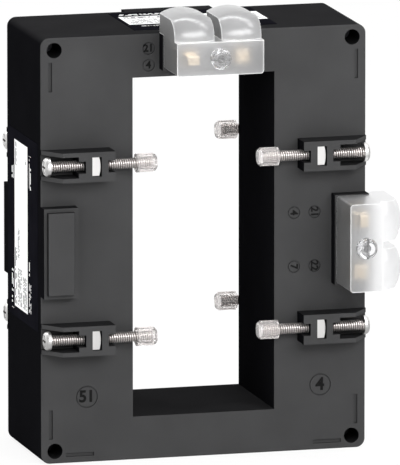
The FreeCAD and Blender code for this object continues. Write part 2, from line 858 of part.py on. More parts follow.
def cover_form(body, margin, base):
    """The cover's box and domes, drawn inward by a margin, with the domes standing on base."""
    foot = -pad_height
    front = -pad_height - cover_depth + margin
    box = rectangle(
        -cover_length / 2 + margin, cover_length / 2 - margin, -cover_breadth + margin, -margin
    )
    extrude(body, "box", "Y", foot, front, [box])
    half_down = -number(cover_breadth) / 2
    round_edges(
        body,
        "box_corners",
        cover_corner_radius - margin / 2,
        lambda edge: runs_along(edge, Vector(0, 1, 0)) and edge.Vertexes[0].Z < half_down,
    )

    # Each dome is one arched section: it runs forward as the roof, turns a quarter about the bend's axis,
    # and runs down as the front
    bend_y = dome_overhang - dome_length + dome_rounding
    bend_z = dome_side_height - dome_rounding
    reach = dome_rounding - margin
    if base is not None:
        throats = sketch_across(body, "throats_outline", "Y", foot)
        draw_domes(throats, base, throat_overlap, margin)
        extrude_sketch(body, "throats", throats, "Y", foot, bend_y - reach)
    roofs = sketch_across(body, "roofs_outline", "Y", dome_overhang)
    draw_domes(roofs, 0, bend_z + reach, margin, "high")
    extrude_sketch(body, "roofs", roofs, "Y", dome_overhang, bend_y)
    fronts = sketch_across(body, "fronts_outline", "Z", bend_z)
    draw_domes(fronts, bend_y - reach, bend_y, margin, "low")
    extrude_sketch(body, "fronts", fronts, "Z", bend_z, 0)
    bends = sketch_across(body, "bends_outline", "Y", bend_y)
    bind(bends, "AttachmentOffset.Base.y", bend_z)
    draw_domes(bends, 0, reach, margin, "high")
    quarter = body.newObject("PartDesign::Revolution", "bends")
    quarter.Profile = bends
    quarter.ReferenceAxis = (bends, ["H_Axis"])
    quarter.Angle = 90
    return front


def terminal_cover(label):
    """A clear cover: its outer form less its hollow, with a post round the sealing screw."""
    outside = new_body(f"{label}_outside")
    front = cover_form(outside, 0, None)
    bore = [(0, -cover_screw_seat, cover_screw_radius + cover_screw_clearance)]
    extrude(outside, "screw_bore", "Y", front, -pad_height, circles=bore, cut=True)
    hollow = new_body(f"{label}_hollow")
    inner_front = cover_form(hollow, cover_wall, -cover_wall - throat_overlap)
    post_end = -pad_height - block_flange_thickness - cover_post_gap
    post = [(0, -cover_screw_seat, cover_post_radius)]
    extrude(hollow, "post", "Y", inner_front, post_end, circles=post, cut=True)
    cover = doc.addObject("Part::Cut", label)
    cover.Label = label
    cover.Base = outside
    cover.Tool = hollow
    return cover


def cover_screw(label):
    """The sealing screw of a cover: a wide low head and a shaft down to the insert."""
    body = new_body(label)
    seat = -pad_height - cover_depth
    end = seat - cover_head_height
    tip = -pad_height - block_flange_thickness + cover_screw_bite
    extrude(body, "head", "Y", seat, end, circles=[(0, -cover_screw_seat, cover_head_radius)])
    extrude(body, "shaft", "Y", seat, tip, circles=[(0, -cover_screw_seat, cover_screw_radius)])
    round_edges(
        body,
        "head_edge",
        cover_head_rounding,
        lambda edge: all(near(vertex.Y, end) for vertex in edge.Vertexes),
    )
    slot = centred(2 * (cover_head_radius + cut_past), driver_slot_breadth, 0, -cover_screw_seat)
    extrude(body, "driver_slot", "Y", end, end + driver_slot_depth, [slot], cut=True)
    return body


def case_screws(label):
    """Four screws that hold the shells together, their heads sunk in the front shell."""
    screws = []
    seat = front_y + case_counterbore_depth
    end = seat - case_head_height
    tip = seam_y + case_thread_depth
    for n, (x, z) in enumerate(corner_centres(), 1):
        body = new_body(f"case_screw_{n}")
        extrude(body, "head", "Y", seat, end, circles=[(0, 0, case_head_radius)])
        extrude(body, "shaft", "Y", seat, tip, circles=[(0, 0, case_screw_radius)])
        arm = recess_arm_breadth
        reach = 2 * (case_head_radius - arm)
        for word, loop in (("flat", centred(reach, arm)), ("upright", centred(arm, reach))):
            extrude(body, f"{word}_recess", "Y", end, end + driver_slot_depth, [loop], cut=True)
        screws.append(place(body, x, 0, z))
    group = doc.addObject("Part::Compound", label)
    group.Label = label
    group.Links = screws
    return group


def core(label):
    """The strip-wound core: a rectangular ring round the window with rounded corners."""
    body = new_body(label)
    inner = centred(2 * core_limb_x, 2 * core_yoke_z)
    outer = centred(2 * (core_limb_x + core_build), 2 * (core_yoke_z + core_build))
    half_depth = core_depth / 2
    extrude(body, "strip", "Y", -half_depth, half_depth, [outer])
    along_y = Vector(0, 1, 0)
    round_edges(body, "outer_bends", core_corner_radius + core_build, lambda e: runs_along(e, along_y))
    extrude(body, "opening", "Y", -half_depth, half_depth, [inner], cut=True)
    inside = core_limb_x + core_build / 2
    round_edges(
        body,
        "inner_bends",
        core_corner_radius,
        lambda e: runs_along(e, along_y) and abs(e.Vertexes[0].X) < number(inside),
    )
    return body


def core_tape(label, way):
    """The tape wound round one yoke of the core."""
    body = new_body(label)
    middle = way * (core_yoke_z + core_build / 2)
    ring = [
        centred(core_depth + 2 * tape_thickness, core_build + 2 * tape_thickness, 0, middle),
        centred(core_depth, core_build, 0, middle),
    ]
    extrude(body, "wrap", "X", -tape_half_length, tape_half_length, ring)
    return body


limb_middle = core_limb_x + core_build / 2
bobbin_half_x = core_build / 2 + inner_clearance + bobbin_wall
bobbin_half_y = core_depth / 2 + inner_clearance + bobbin_wall
flange_half_x = limb_middle - window_width / 2 - window_wall - inner_clearance
flange_half_y = body_depth / 2 - face_wall - inner_clearance


def bobbin(label, side):
    """A bobbin on one limb of the core: a rectangular tube with a flange at each end."""
    body = new_body(label)
    x = side * limb_middle
    tube = centred(2 * bobbin_half_x, 2 * bobbin_half_y, x)
    flange = centred(2 * flange_half_x, 2 * flange_half_y, x)
    end = bobbin_half_length
    extrude(body, "tube", "Z", -end, end, [tube])
    for way, word in ((-1, "lower"), (1, "upper")):
        extrude(body, f"{word}_flange", "Z", way * (end - flange_thickness), way * end, [flange])
    bore = centred(core_build + 2 * inner_clearance, core_depth + 2 * inner_clearance, x)
    extrude(body, "bore", "Z", -end, end, [bore], cut=True)
    return body


def winding(label, side):
    """The wire wound on a bobbin, as one block with rounded outer corners."""
    body = new_body(label)
    x = side * limb_middle
    end = bobbin_half_length - flange_thickness
    outer_x = 2 * (bobbin_half_x + winding_thickness)
    outer_y = 2 * (bobbin_half_y + winding_thickness)
    extrude(body, "turns", "Z", -end, end, [centred(outer_x, outer_y, x)])
    round_edges(
        body, "bends", winding_thickness, lambda edge: runs_along(edge, Vector(0, 0, 1))
    )
    tube = centred(2 * bobbin_half_x, 2 * bobbin_half_y, x)
    extrude(body, "bobbin_space", "Z", -end, end, [tube], cut=True)
    return body


def lead(label, points):
    """An insulated lead along straight runs joined by tangent arcs, as large as the runs allow."""
    route = [Vector(*(number(c) for c in point)) for point in points]
    edges = []
    at = route[0]
    for before, corner, after in zip(route, route[1:], route[2:]):
        into, out_of = (corner - before), (after - corner)
        turn = into.getAngle(out_of)
        back = BEND_SHARE * min(into.Length, out_of.Length)
        radius = back / math.tan(turn / 2)
        start = corner - into.normalize() * back
        end = corner + out_of.normalize() * back
        to_middle = ((start + end) / 2 - corner).normalize()
        middle = corner + to_middle * (radius / math.cos(turn / 2) - radius)
        edges.append(Part.LineSegment(at, start).toShape())
        edges.append(Part.Arc(start, middle, end).toShape())
        at = end
        print(label, "bend radius", round(radius, 2))
    edges.append(Part.LineSegment(at, route[-1]).toShape())
    path = Part.Wire(edges)
    section = Part.Circle(route[0], route[1] - route[0], number(lead_radius)).toShape()
    tube = path.makePipeShell([Part.Wire([section])], True, False, 2)
    expected = math.pi * number(lead_radius) ** 2 * path.Length
    if abs(tube.Volume / expected - 1) > 0.01:
        raise RuntimeError(f"{label}: volume {tube.Volume:.2f}, expected {expected:.2f}")
    thing = doc.addObject("Part::Feature", label)
    thing.Label = label
    thing.Shape = tube
    thing.Placement = Placement()
    return thing


def leads():
    """Leads from the windings to each terminal's tail, and the link between the windings."""
    made = []
    tail_y = front_y + face_wall + tail_length
    run_y = tail_y + lead_run_depth
    flange_top = bobbin_half_length
    tail_z = half_height - terminal_seat
    start_x = window_width / 2 + window_wall + lead_start_offset
    for side, word in ((-1, "left"), (1, "right")):
        route = [
            (side * start_x, run_y, flange_top),
            (side * start_x, run_y, flange_top + lead_rise),
            (side * (terminal_offset + lead_side_run), run_y, tail_z),
            (side * terminal_offset, run_y, tail_z),
            (side * terminal_offset, tail_y, tail_z),
        ]
        made.append(lead(f"lead_top_{word}", route))
    winding_x = limb_middle + bobbin_half_x + winding_thickness
    tail_x = half_width - terminal_seat
    for way, word in ((-1, "lower"), (1, "upper")):
        start_z = way * (terminal_offset + lead_side_run)
        route = [
            (winding_x, side_lead_y, start_z),
            (tail_x, side_lead_y, start_z),
            (tail_x, run_y, way * terminal_offset),
            (tail_x, tail_y, way * terminal_offset),
        ]
        made.append(lead(f"lead_side_{word}", route))
    link_z = -(flange_top + link_drop)
    route = [
        (-start_x, run_y, -flange_top),
        (-start_x, run_y, link_z),
        (start_x, run_y, link_z),
        (start_x, run_y, -flange_top),
    ]
    made.append(lead("winding_link", route))
    return made


def label_sheets():
    """The two rating labels: on the top and on the left side, across the seam."""
    top = new_body("rating_label_top")
    front = front_y + top_label_front
    outline = rectangle(-top_label_left, top_label_right, front, front + top_label_depth)
    extrude(top, "sheet", "Z", half_height, half_height + label_thickness, [outline])
    beside = new_body("rating_label_side")
    front = front_y + side_label_front
    outline = rectangle(front, front + side_label_depth, -side_label_low, side_label_high)
    extrude(beside, "sheet", "X", -half_width, -half_width - label_thickness, [outline])
    return [top, beside]


def clamps():
    """The eight busbar clamps: a nut, a screw and a cap on each."""
    made = []
    for face, face_word in ((front_y, "front"), (rear_y, "rear")):
        for way, level in ((1, "upper"), (-1, "lower")):
            for side, side_word in ((-1, "left"), (1, "right")):
                name = f"{face_word}_{level}_{side_word}"
                for thing in (
                    clamp_nut(f"clamp_nut_{name}", side < 0),
                    clamp_screw(f"clamp_screw_{name}"),
                    clamp_cap(f"clamp_cap_{name}"),
                ):
                    place(thing, *clamp_point(side, way, face), clamp_turn(side))
                    made.append(thing)
    return made


def terminals():
    """The two terminal places: an insert, two clamps with screws, a cover and its screw each."""
    made = []
    for site, word in (("top", "top"), ("right", "side")):
        for maker in (terminal_block, terminal_cover, cover_screw):
            thing = maker(f"{maker.__name__}_{word}")
            made.append(site_placement(thing, site))
        for along, number_word in ((-terminal_offset, "first"), (terminal_offset, "second")):
            for maker in (terminal_clamp, terminal_screw):
                thing = maker(f"{maker.__name__}_{word}_{number_word}")
                made.append(site_placement(thing, site, along=along))
    return made


def blanks():
    """The plates on the terminal places without terminals."""
    made = [site_placement(blank_plate("blank_plate_front_left"), "left")]
    for site in SITES:
        # seen from the rear, the right site is on the left
        word = {"top": "top", "right": "left", "left": "right"}[site]
        made.append(site_placement(blank_plate(f"blank_plate_rear_{word}"), site, front=False))
    return made


def export(nodes):
    doc.recompute()
    problems = []
    for thing in doc.Objects:
        if any(word in thing.State for word in ("Invalid", "Error")):
            problems.append(f"{thing.Label}: {thing.State}")
    for node in nodes:
        shape = node.Shape
        if shape.isNull() or not shape.isValid() or not shape.Solids:
            problems.append(f"{node.Label}: no valid solid")
    if problems:
        raise RuntimeError("; ".join(problems))
    os.makedirs("parts", exist_ok=True)
    for node in nodes:
        node.Shape.exportStep(f"parts/{node.Label}.step")
        print(node.Label, len(node.Shape.Solids), round(node.Shape.Volume, 1))


nodes = [
    shell("front_shell", front_y, list(SITES)),
    shell("rear_shell", rear_y, list(SITES)),
    case_screws("case_screws"),
    core("core"),
    core_tape("core_tape_top", 1),
    core_tape("core_tape_bottom", -1),
    bobbin("bobbin_left", -1),
    bobbin("bobbin_right", 1),
    winding("winding_left", -1),
    winding("winding_right", 1),
]
nodes += leads()
nodes += terminals()
nodes += blanks()
nodes += label_sheets()
nodes += clamps()
export(nodes)
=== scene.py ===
# %% [markdown]
# # A window-type current transformer, dressed for its picture
# The CAD model gives every rigid piece at its real size. This lesson adds what a picture needs: finishes,
# screw threads, printed labels, the characters in the round marks, light and a camera.
# Everything is in metres, in the CAD model's own frame: X to the right, Y from the front to the rear, Z up.

import math

import bmesh
import bpy
from mathutils import Matrix, Vector


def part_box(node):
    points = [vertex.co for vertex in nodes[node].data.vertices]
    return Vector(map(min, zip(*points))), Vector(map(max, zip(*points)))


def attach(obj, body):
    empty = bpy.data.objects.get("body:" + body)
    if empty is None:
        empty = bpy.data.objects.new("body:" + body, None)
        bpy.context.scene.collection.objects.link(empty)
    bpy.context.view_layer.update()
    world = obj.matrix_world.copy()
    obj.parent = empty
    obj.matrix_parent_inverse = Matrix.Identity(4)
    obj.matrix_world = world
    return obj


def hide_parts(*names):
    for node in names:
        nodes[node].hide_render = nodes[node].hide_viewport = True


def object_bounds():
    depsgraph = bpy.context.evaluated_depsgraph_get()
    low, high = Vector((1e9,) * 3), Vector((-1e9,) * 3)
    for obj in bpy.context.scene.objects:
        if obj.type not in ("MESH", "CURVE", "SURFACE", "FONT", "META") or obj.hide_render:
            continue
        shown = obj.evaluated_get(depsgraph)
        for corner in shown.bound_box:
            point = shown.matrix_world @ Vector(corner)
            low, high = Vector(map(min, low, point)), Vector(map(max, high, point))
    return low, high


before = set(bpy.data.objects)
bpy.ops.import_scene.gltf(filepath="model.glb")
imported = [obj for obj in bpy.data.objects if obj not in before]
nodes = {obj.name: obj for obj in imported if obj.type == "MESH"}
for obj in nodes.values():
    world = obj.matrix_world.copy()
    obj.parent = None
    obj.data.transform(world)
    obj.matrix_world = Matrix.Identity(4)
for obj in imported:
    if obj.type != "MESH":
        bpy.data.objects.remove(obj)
cad_low, cad_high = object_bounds()
MM = 0.001
print("CAD nodes:", len(nodes))
print("CAD box in mm:", [round(c / MM, 1) for c in (cad_high - cad_low)])

# %% [markdown]
# ## The camera
# The photograph was taken from far away with a long lens, so edges that are parallel on the object stay
# parallel in it. A camera can be turned by eye until the picture looks right. Here its two angles were
# worked out from the slopes of the housing's edges, because an eye can't tell half a degree. A very long
# lens, far back, keeps edges parallel and still works as a normal camera.

# %% Camera at the photograph's viewing angle
SENSOR = 36 * MM
LENS = 1.0
VIEW_AZIMUTH = math.radians(-15.21)
VIEW_ELEVATION = math.radians(10.62)
PICTURE_HEIGHT = 172.8 * MM
FRONT_FACE_Y = -25.0 * MM
PICTURE_MIDDLE = Vector((-1.39 * MM, FRONT_FACE_Y, 4.46 * MM))
NEAREST_SEEN, FARTHEST_SEEN = 0.1, 60.0


def linked(name, data):
    """A new object for some data, in the scene."""
    made = bpy.data.objects.new(name, data)
    bpy.context.scene.collection.objects.link(made)
    return made


def aimed(thing, place, direction):
    """A camera or lamp, put in its place and turned to look along a direction."""
    thing.location = place
    thing.rotation_mode = "QUATERNION"
    thing.rotation_quaternion = direction.to_track_quat("-Z", "Y")
    return thing


towards_camera = Vector((
    math.sin(VIEW_AZIMUTH) * math.cos(VIEW_ELEVATION),
    -math.cos(VIEW_AZIMUTH) * math.cos(VIEW_ELEVATION),
    math.sin(VIEW_ELEVATION),
))
distance = PICTURE_HEIGHT / SENSOR * LENS
camera_data = bpy.data.cameras.new("camera")
camera_data.lens = LENS / MM
camera_data.sensor_width = SENSOR / MM
camera_data.clip_start = NEAREST_SEEN
camera_data.clip_end = FARTHEST_SEEN
camera = aimed(linked("camera", camera_data), PICTURE_MIDDLE + towards_camera * distance, -towards_camera)
bpy.context.scene.camera = camera
print("camera distance in m:", round(distance, 2))

# %% [markdown]
# ## The world
# A product picture on white wants a background that is exactly white while the object keeps its own tones.
# More light would reach white too, but it would wash the black plastic out. So the world is white only for
# what the camera and clear pieces see, and the light that falls on the object is set apart from it. What
# metal mirrors is a third thing: a room that is white behind the object and overhead, and dim on the
# camera's side, because a screw that mirrors white all round looks like paper.

# %% Node helpers
WHITE, BLACK = (1, 1, 1), (0, 0, 0)
NOISE_SPAN = (0.3, 0.7)
NOT_ONCE = 0.5


def node_tree(owner):
    """An empty node tree of a material or world."""
    owner.use_nodes = True
    owner.node_tree.nodes.clear()
    return owner.node_tree


def plug(tree, value, socket):
    """Links another node's socket into this one, or sets a plain number or colour on it."""
    if isinstance(value, bpy.types.NodeSocket):
        tree.links.new(value, socket)
    elif socket.type == "RGBA":
        socket.default_value = (*value, 1)
    else:
        socket.default_value = value


def add_node(tree, kind, settings=None, **inputs):
    """A shader node with some of its settings, and with inputs that are sockets or plain values."""
    made = tree.nodes.new(kind)
    for name, value in (settings or {}).items():
        setattr(made, name, value)
    for name, value in inputs.items():
        plug(tree, value, made.inputs[name.replace("_", " ")])
    return made


def add_math(tree, operation, *values):
    """One Math node on sockets or numbers, and its result."""
    made = add_node(tree, "ShaderNodeMath", {"operation": operation})
    for value, socket in zip(values, made.inputs):
        plug(tree, value, socket)
    return made.outputs[0]


def ranged(tree, value, low, high, span=NOISE_SPAN):
    """Goes from low to high while a value crosses a span, which for noise is where most of it lies."""
    start, end = span
    made = add_node(
        tree, "ShaderNodeMapRange", Value=value, From_Min=start, From_Max=end, To_Min=low, To_Max=high
    )
    return made.outputs["Result"]


def axes(tree, kind):
    """The X, Y and Z of one kind of texture coordinates."""
    where = tree.nodes.new("ShaderNodeTexCoord").outputs[kind]
    return add_node(tree, "ShaderNodeSeparateXYZ", Vector=where).outputs


def ray_kinds(tree):
    """Whether a ray comes straight or through clear plastic from the camera, and whether it is mirrored."""
    path = tree.nodes.new("ShaderNodeLightPath").outputs
    unscattered = add_math(tree, "LESS_THAN", path["Diffuse Depth"], NOT_ONCE)
    through = add_math(tree, "MULTIPLY", path["Is Transmission Ray"], unscattered)
    return add_math(tree, "MAXIMUM", path["Is Camera Ray"], through), path["Is Glossy Ray"]


print("most noise is taken to lie within", NOISE_SPAN)

# %% World
AMBIENT = 0.45
MIRROR_DIM = 0.34
MIRROR_BEHIND = 1.0
MIRROR_ABOVE = 0.7
BEHIND_SPAN = (-0.1, 0.6)
ABOVE_SPAN = (0.55, 0.8)

world = bpy.data.worlds.new("studio")
bpy.context.scene.world = world
tree = node_tree(world)
seen, mirrored = ray_kinds(tree)
direction = axes(tree, "Generated")
behind = ranged(tree, direction["Y"], MIRROR_DIM, MIRROR_BEHIND, BEHIND_SPAN)
above = ranged(tree, direction["Z"], 0, MIRROR_ABOVE, ABOVE_SPAN)
mirror_level = add_math(tree, "MULTIPLY", mirrored, add_math(tree, "MAXIMUM", behind, above))
unseen = add_math(tree, "SUBTRACT", 1.0, add_math(tree, "MAXIMUM", mirrored, seen))
ambient_level = add_math(tree, "MULTIPLY", unseen, AMBIENT)
level = add_math(tree, "ADD", add_math(tree, "MAXIMUM", mirror_level, seen), ambient_level)
sky = add_node(tree, "ShaderNodeBackground", Color=WHITE, Strength=level)
add_node(tree, "ShaderNodeOutputWorld", Surface=sky.outputs[0])
print("world:", world.name)

# %% [markdown]
# ## The floor
# The object stands on white, and all that shows of the floor is a soft shadow. A shadow could be painted,
# but a real one falls right from every side. So the floor mixes a matte surface, which takes the shadow,
# with a glow, which lifts it to white, and only the camera and metal see the glow. What metal mirrors low
# down is set here too: white in front, as from a card laid there, dim under the object, and white behind.

# %% A floor that shows only the object's shadow
FLOOR_HALF = 4.0
FLOOR_TONE = (0.8, 0.8, 0.8)
FLOOR_GLOW_SHARE = 0.84
FLOOR_GLOW = 1.04
CARD_GLOW = 1.0
CARD_SPAN = (-0.26, -0.18)
FLOOR_BEHIND_SPAN = (0.0, 0.5)


def mesh_object(name, bm):
    """A finished bmesh as an object at the origin."""
    mesh = bpy.data.meshes.new(name)
    bm.to_mesh(mesh)
    bm.free()
    return linked(name, mesh)


def mixed_by(tree, share, first, second):
    """Two shaders mixed by a share."""
    made = tree.nodes.new("ShaderNodeMixShader")
    for value, socket in zip((share, first.outputs[0], second.outputs[0]), made.inputs):
        plug(tree, value, socket)
    return made


def surface(tree, shader):
    """Makes a shader the surface of its material."""
    add_node(tree, "ShaderNodeOutputMaterial", Surface=shader.outputs[0])


bm = bmesh.new()
bmesh.ops.create_grid(bm, x_segments=1, y_segments=1, size=FLOOR_HALF)
bmesh.ops.translate(bm, verts=bm.verts, vec=(0, 0, cad_low.z))
floor = mesh_object("floor", bm)

floor_finish = bpy.data.materials.new("floor_white")
tree = node_tree(floor_finish)
seen, mirrored = ray_kinds(tree)
share = add_math(tree, "MULTIPLY", add_math(tree, "MAXIMUM", seen, mirrored), FLOOR_GLOW_SHARE)
matte = add_node(tree, "ShaderNodeBsdfDiffuse", Color=FLOOR_TONE)
depth = axes(tree, "Object")["Y"]
card = ranged(tree, depth, CARD_GLOW, MIRROR_DIM, CARD_SPAN)
behind = ranged(tree, depth, MIRROR_DIM, MIRROR_BEHIND, FLOOR_BEHIND_SPAN)
mirror_glow = add_math(tree, "MAXIMUM", card, behind)
glow_level = add_math(tree, "MAXIMUM", add_math(tree, "MULTIPLY", seen, FLOOR_GLOW), mirror_glow)
glow = add_node(tree, "ShaderNodeEmission", Color=WHITE, Strength=glow_level)
surface(tree, mixed_by(tree, share, matte, glow))
floor.data.materials.append(floor_finish)
print("floor height in mm:", round(cad_low.z / MM, 2))

# %% [markdown]
# ## The lamps
# Black plastic needs large soft lamps, because small ones leave hard bright spots on it. But a large lamp
# that a screw mirrors fills it with white, so the four softboxes are hidden from mirrored rays. Three lamps
# stay visible to them: a strip on the left for the metal, a wide key light, which makes the soft spot on
# each dome of the clear covers, and a long overhead strip, which makes the streak across it.

# %% Lamps
def area_lamp(name, place, size, watts, mirrored=True):
    """A soft rectangular lamp aimed at the object, which metal and clear plastic may or may not mirror."""
    data = bpy.data.lights.new(name, "AREA")
    data.shape = "RECTANGLE"
    data.size, data.size_y = size
    data.energy = watts
    lamp = aimed(linked(name, data), place, -Vector(place))
    lamp.visible_glossy = mirrored


area_lamp("front_softbox", place=(0.35, -1.6, 0.45), size=(1.6, 1.6), watts=2.5, mirrored=False)
area_lamp("top_softbox", place=(0.1, -0.25, 1.25), size=(1.2, 0.6), watts=2.6, mirrored=False)
area_lamp("left_softbox", place=(-1.35, -0.45, 0.25), size=(0.6, 1.2), watts=8, mirrored=False)
area_lamp("rear_softbox", place=(0.4, 1.6, 0.5), size=(1.6, 1.6), watts=8, mirrored=False)
area_lamp("left_strip", place=(-1.25, -0.35, 0.35), size=(0.12, 0.8), watts=0.5)
area_lamp("key_light", place=(0.14, -0.75, 0.36), size=(1.0, 0.3), watts=5.5)
area_lamp("overhead_strip", place=(0.1, 0.12, 0.9), size=(2.4, 0.1), watts=7.5)

# %% [markdown]
# ## Moulded black plastic
# The housing is moulded in black plastic. Its front and rear faces are painted a dark grey, its tops a
# darker grey and its walls a deep black: painted light and shade, for how the lamps fall on each face. A
# texture picture could show this, but two things in the material do it at any size: the way a face looks,
# from its normal, picks the painted tone, and noise gives the texture's bumps and a slight change of tone.
# Noise reads Object coordinates, so it stays in its place on each piece.

# %% Shader helpers
MIX_FIRST, MIX_SECOND, MIX_RESULT = 6, 7, 2


def principled(tree, **inputs):
    """A Principled shader as the surface of its material."""
    shader = add_node(tree, "ShaderNodeBsdfPrincipled", **inputs)
    surface(tree, shader)
    return shader


def base_colour(material):
    """Where the material's shader takes its colour."""
    shader = next(n for n in material.node_tree.nodes if n.type == "BSDF_PRINCIPLED")
    return shader.inputs["Base Color"]


def object_noise(tree, waves, detail=2):
    """Noise on a piece's own coordinates, with so many waves a metre."""
    where = tree.nodes.new("ShaderNodeTexCoord").outputs["Object"]
    return add_node(tree, "ShaderNodeTexNoise", Vector=where, Scale=waves, Detail=detail).outputs["Fac"]


def colours_mixed(tree, share, first, second, blend="MIX"):
    """A colour between two by a share, each a socket or a plain colour."""
    made = add_node(tree, "ShaderNodeMix", {"data_type": "RGBA", "blend_type": blend}, Factor=share)
    plug(tree, first, made.inputs[MIX_FIRST])
    plug(tree, second, made.inputs[MIX_SECOND])
    return made.outputs[MIX_RESULT]


def bump(tree, height, depth, strength=1.0):
    """A bump from a height, with its depth in metres."""
    return add_node(tree, "ShaderNodeBump", Height=height, Distance=depth, Strength=strength).outputs[0]


print("sockets of a colour mix, first, second and result:", MIX_FIRST, MIX_SECOND, MIX_RESULT)

# %% Moulded plastic
CLOUD_WAVES, CLOUD_DETAIL = 60, 3
TEXTURE_WAVES = 1800
TEXTURE_DEPTH, TEXTURE_STRENGTH = 0.03 * MM, 0.35
PLASTIC_ROUGHNESS = (0.5, 0.62)


def moulded_plastic(name, dark, light, gloss):
    """Moulded plastic with a fine texture and a slight change of tone and roughness."""
    material = bpy.data.materials.new(name)
    tree = node_tree(material)
    cloud = object_noise(tree, CLOUD_WAVES, CLOUD_DETAIL)
    texture = object_noise(tree, TEXTURE_WAVES)
    principled(
        tree,
        Base_Color=colours_mixed(tree, ranged(tree, cloud, 0, 1), dark, light),
        Roughness=ranged(tree, cloud, *PLASTIC_ROUGHNESS),
        Specular_IOR_Level=gloss,
        Normal=bump(tree, texture, TEXTURE_DEPTH, TEXTURE_STRENGTH),
    )
    return material


print("depth of the plastic's texture in mm:", round(TEXTURE_DEPTH / MM, 3))

# %% Painted light and shade by the way a face looks
FACE_SPAN = (0.2, 0.5)
TOP_SPAN = (0.35, 0.9)
FACE_VARIATION = 0.14
# Painted light on the front and rear faces, painted shade on the tops and walls.
FACE_PAINTED_LIGHT = (0.055, 0.055, 0.056)
TOP_PAINTED_SHADE = (0.0195, 0.0195, 0.0205)
WALL_PAINTED_SHADE = (0.006, 0.006, 0.007)


def plastic_with_painted_light(name, face_painted_light, top_painted_shade, wall_painted_shade):
    """Black plastic with painted light on its front and rear faces and painted shade on its tops and walls.
    """
    material = moulded_plastic(name, BLACK, WHITE, gloss=0.0)
    tree = material.node_tree
    variation = base_colour(material).links[0].from_socket
    looks = axes(tree, "Normal")
    across = add_math(tree, "ABSOLUTE", looks["Y"])
    # Painted shade on tops and walls and painted light on front and rear faces, by which way a face looks.
    walls = colours_mixed(tree, ranged(tree, looks["Z"], 0, 1, TOP_SPAN), wall_painted_shade, top_painted_shade)
    tone = colours_mixed(tree, ranged(tree, across, 0, 1, FACE_SPAN), walls, face_painted_light)
    varied = colours_mixed(tree, FACE_VARIATION, tone, variation, "MULTIPLY")
    tree.links.new(varied, base_colour(material))
    return material


def named(*starts):
    """The CAD nodes whose names start so."""
    return [name for name in sorted(nodes) if name.startswith(starts)]


def finish(material, *names):
    """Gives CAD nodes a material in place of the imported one."""
    for name in names:
        mesh = nodes[name].data
        mesh.materials.clear()
        mesh.materials.append(material)
    print(f"{material.name} on {len(names)} nodes")


housing_plastic = plastic_with_painted_light("housing_plastic", FACE_PAINTED_LIGHT, TOP_PAINTED_SHADE, WALL_PAINTED_SHADE)
finish(housing_plastic, *named("front_shell", "rear_shell", "blank_plate"))

# %% [markdown]
# ## Plastic inside the housing
# The terminals sit in grey inserts, the windings on pale bobbins, and tape and thin leads run round the
# core. As they hardly show, one plain colour each could do. They get the same moulded finish as the housing
# instead, in their own colours, because one more call costs nothing and they may be shown with a shell off.

# %% Inserts, bobbins, tape and leads
insert_plastic = moulded_plastic("insert_plastic", (0.20, 0.20, 0.20), (0.25, 0.25, 0.25), gloss=0.3)
finish(insert_plastic, *named("terminal_block"))
bobbin_plastic = moulded_plastic("bobbin_plastic", (0.62, 0.61, 0.56), (0.7, 0.69, 0.63), gloss=0.4)
finish(bobbin_plastic, *named("bobbin"))
tape = moulded_plastic("yellow_tape", (0.6, 0.5, 0.2), (0.7, 0.6, 0.26), gloss=0.4)
finish(tape, *named("core_tape"))
lead_jacket = moulded_plastic("lead_jacket", (0.03, 0.03, 0.035), (0.05, 0.05, 0.055), gloss=0.3)
finish(lead_jacket, *named("lead_", "winding_link"))

# %% [markdown]
# ## Metals
# The clamp screws and nuts are nickel-plated steel, bright and a little warm. The terminals are plated
# brass. Each metal could have a material of its own, but one function makes them all, because they differ
# only in colour and in how rough they are. Noise changes the roughness a little and gives a faint grain,
# which keeps metal from looking painted.

# %% Nickel, brass, blackened steel, copper wire
PATCH_WAVES, PATCH_DETAIL = 400, 3
GRAIN_WAVES, GRAIN_DEPTH = 2500, 0.004 * MM


def metal(name, colour, rough, purity=1.0, grain=GRAIN_WAVES, grain_depth=GRAIN_DEPTH):
    """A metal with a slight change of roughness and a fine grain, and a little dull where not pure."""
    material = bpy.data.materials.new(name)
    tree = node_tree(material)
    patches = object_noise(tree, PATCH_WAVES, PATCH_DETAIL)
    principled(
        tree,
        Base_Color=colour,
        Metallic=purity,
        Roughness=ranged(tree, patches, *rough),
        Normal=bump(tree, object_noise(tree, grain), grain_depth),
    )
    return material


nickel = metal("nickel_plate", (0.90, 0.89, 0.88), rough=(0.28, 0.33))
finish(nickel, *named("clamp_nut"))
brass = metal("plated_brass", (0.74, 0.62, 0.46), rough=(0.28, 0.38))
finish(brass, *named("terminal_clamp", "terminal_screw"))
finish(metal("blackened_steel", (0.09, 0.09, 0.1), rough=(0.4, 0.5)), "case_screws")
finish(metal("core_strip", (0.4, 0.41, 0.43), rough=(0.35, 0.5)), "core")
finish(metal("enamelled_copper", (0.72, 0.33, 0.15), rough=(0.25, 0.4)), "winding_left", "winding_right")

# %% [markdown]
# ## Painted shade in the grooves and the recess
# A thread's grooves lie in shade, and light alone shows this too weakly on a screw that is only a few
# pixels thick, so the shade is painted into the thread's colour. The grooves' faces could get a darker
# metal of their own, with a hard border. A colour that goes from dark to light with the distance from the
# screw's axis has none, and follows the thread by itself. The head's cross recess gets a darker, duller
# metal, which is painted shade too.

# %% Thread and recess
CLAMP_Y, CLAMP_Z = 29.5 * MM, 32.75 * MM
GROOVE_PAINTED_SHADE = (0.34, 0.31, 0.31)
CREST_LIGHT = (0.74, 0.70, 0.68)
GROOVE_TO_CREST = (1.62 * MM, 1.9 * MM)
THREAD_PURITY = 0.8
THREAD_GRAIN, THREAD_GRAIN_DEPTH = 6000, 0.0006 * MM


